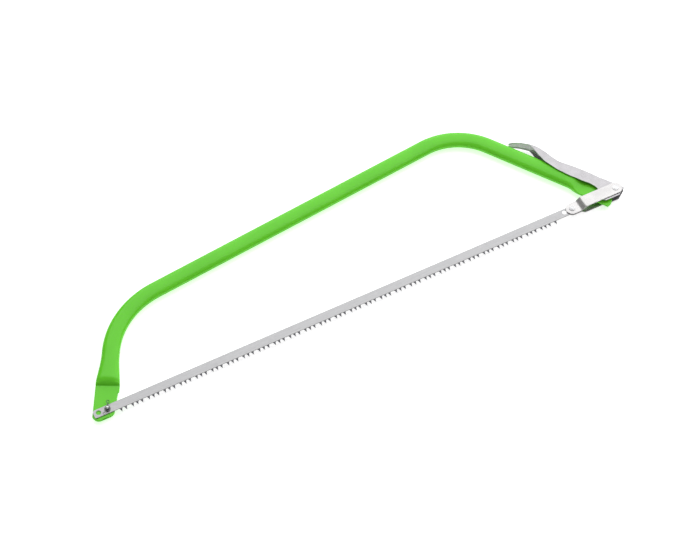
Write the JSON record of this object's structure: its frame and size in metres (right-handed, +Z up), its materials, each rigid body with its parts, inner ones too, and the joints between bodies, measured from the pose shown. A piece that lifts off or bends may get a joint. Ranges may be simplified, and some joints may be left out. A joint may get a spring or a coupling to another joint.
{
  "type": "bow saw",
  "caption": "Bow saw with a bent oval tube frame, a thin peg-toothed blade and an over-centre tension lever, lying on its side.",
  "frame": {"origin": "middle of the underside of the saw, lying on its side", "axes": "+X along the blade from the nose to the handle, +Y from the blade to the bow, +Z up through the thickness of the tube"},
  "size_m": [0.8614, 0.2352, 0.0188],
  "materials": {
    "green_paint": "glossy light green enamel on steel tube",
    "blade_steel": "rolled saw steel, dull grey, with dark hardened tooth tips",
    "zinc_sheet": "bright zinc-plated pressed sheet",
    "rivet_steel": "bright zinc-plated steel"
  },
  "bodies": {
    "frame": {"frame_tube": "green_paint", "lever_pivot_pin": "rivet_steel", "pivot_bush_near": "rivet_steel", "pivot_bush_far": "rivet_steel", "nose_stud": "rivet_steel", "stud_washer": "rivet_steel", "split_pin": "rivet_steel"},
    "lever": {"tension_lever": "zinc_sheet", "link_pin": "rivet_steel"},
    "links": {"link_plate_near": "zinc_sheet", "link_plate_far": "zinc_sheet", "tail_rivet": "rivet_steel"},
    "blade": {"blade": "blade_steel"}
  },
  "joints": [
    {"name": "lever_swing", "type": "hinge", "parent": "frame", "child": "lever", "pos_m": [0.39436, -0.10082, 0.0094], "axis": [0, 0, -1], "range_deg": [0, 75]},
    {"name": "link_fold", "type": "hinge", "parent": "lever", "child": "links", "pos_m": [0.41686, -0.09763, 0.0094], "axis": [0, 0, 1], "range_deg": [0, 41]},
    {"name": "blade_turn", "type": "hinge", "parent": "links", "child": "blade", "pos_m": [0.34236, -0.09763, 0.0094], "axis": [0, 0, 1], "range_deg": [0, 36.5]}
  ],
  "couplings": [
    {"joint": "link_fold", "follows": "lever_swing", "ratio": 0.5391},
    {"joint": "blade_turn", "follows": "lever_swing", "ratio": 0.4784}
  ]
}
